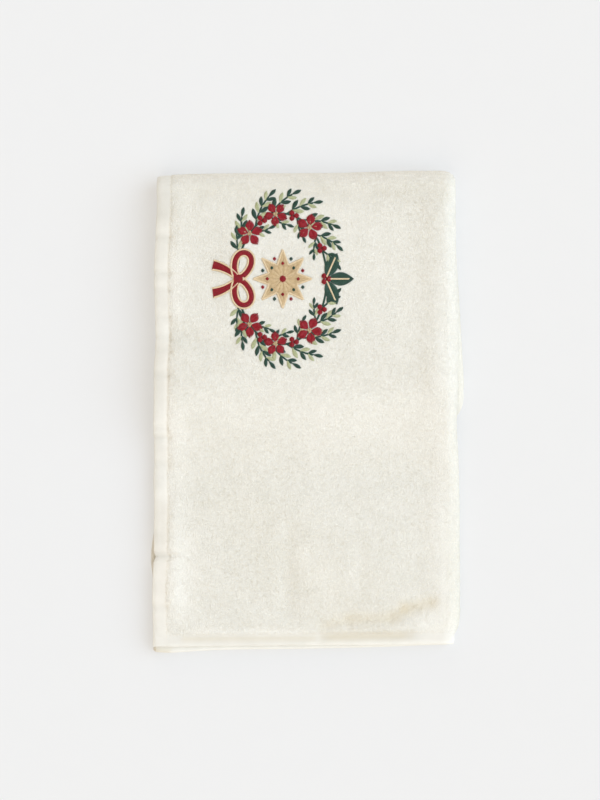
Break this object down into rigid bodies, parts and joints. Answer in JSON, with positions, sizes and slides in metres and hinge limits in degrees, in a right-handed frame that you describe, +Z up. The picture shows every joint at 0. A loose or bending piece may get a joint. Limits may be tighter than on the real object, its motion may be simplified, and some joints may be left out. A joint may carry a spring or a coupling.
{
  "type": "hand towel",
  "caption": "Ivory terry velour hand towel with hemmed edges and embroidery near one end, lying folded back and forth into a flat stack whose far end is turned under.",
  "frame": {"origin": "bottom centre of the box, on the surface that the towel lies on", "axes": "+X to the round folds of the levels, away from the visible hemmed end; +Y to the end that is turned under; +Z up, out of the embroidered face"},
  "size_m": [0.1838, 0.2826, 0.0228],
  "materials": {
    "velour": "matt sheared cotton pile, ivory",
    "sewing_thread": "matt cotton thread, ivory",
    "green_thread": "soft sheen rayon thread, dark green",
    "sage_thread": "soft sheen rayon thread, sage",
    "red_thread": "soft sheen rayon thread, crimson",
    "tan_thread": "soft sheen rayon thread, tan",
    "cream_thread": "soft sheen rayon thread, cream"
  },
  "bodies": {
    "root": {"towel": "velour"}
  },
  "joints": []
}
